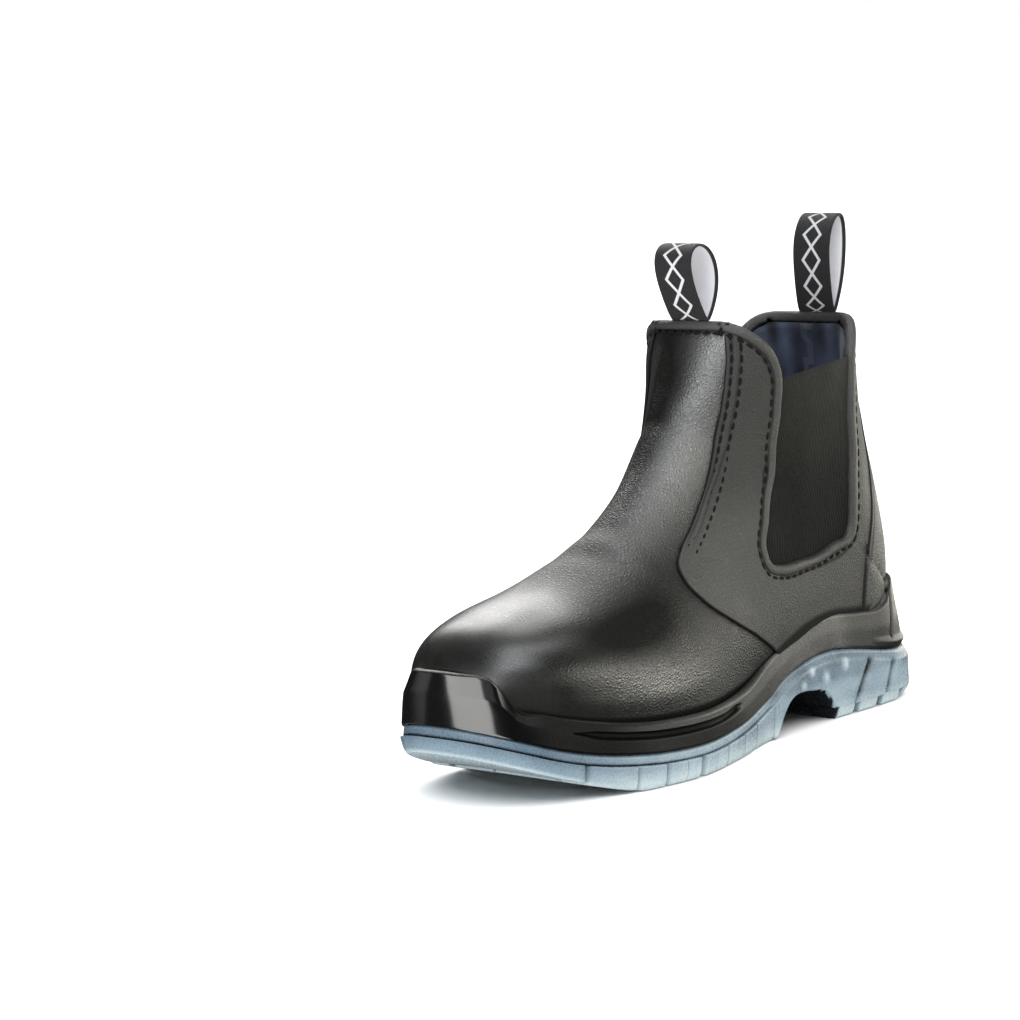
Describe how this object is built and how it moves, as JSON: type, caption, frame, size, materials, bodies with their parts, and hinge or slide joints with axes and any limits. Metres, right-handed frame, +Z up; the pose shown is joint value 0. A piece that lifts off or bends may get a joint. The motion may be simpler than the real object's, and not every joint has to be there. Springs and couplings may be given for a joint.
{
  "type": "safety boot",
  "caption": "Left elastic-sided ankle safety boot with black leather upper, side elastic panels, pull loops, black midsole with toe bumper and a pale blue lugged outsole.",
  "frame": {"origin": "centre of the boot's footprint box, on the floor", "axes": "+X from heel to toe, +Y to the outer side of the left foot, +Z up"},
  "size_m": [0.306, 0.1166, 0.2393],
  "materials": {
    "outsole": "satin, slightly clear",
    "midsole": "satin",
    "upper": "fine grain, semi gloss",
    "quarters": "fine grain, satin",
    "back_strap": "fine grain, satin",
    "elastic": "ribbed, matt",
    "tape": "woven, matt",
    "insole": "matt"
  },
  "bodies": {
    "root": {"outsole": "outsole", "midsole": "midsole", "upper": "upper", "quarter_lateral": "quarters", "quarter_medial": "quarters", "back_strap": "back_strap", "gore_lateral": "elastic", "gore_medial": "elastic", "pull_loop_front": "tape", "pull_loop_back": "tape", "insole": "insole"}
  },
  "joints": []
}
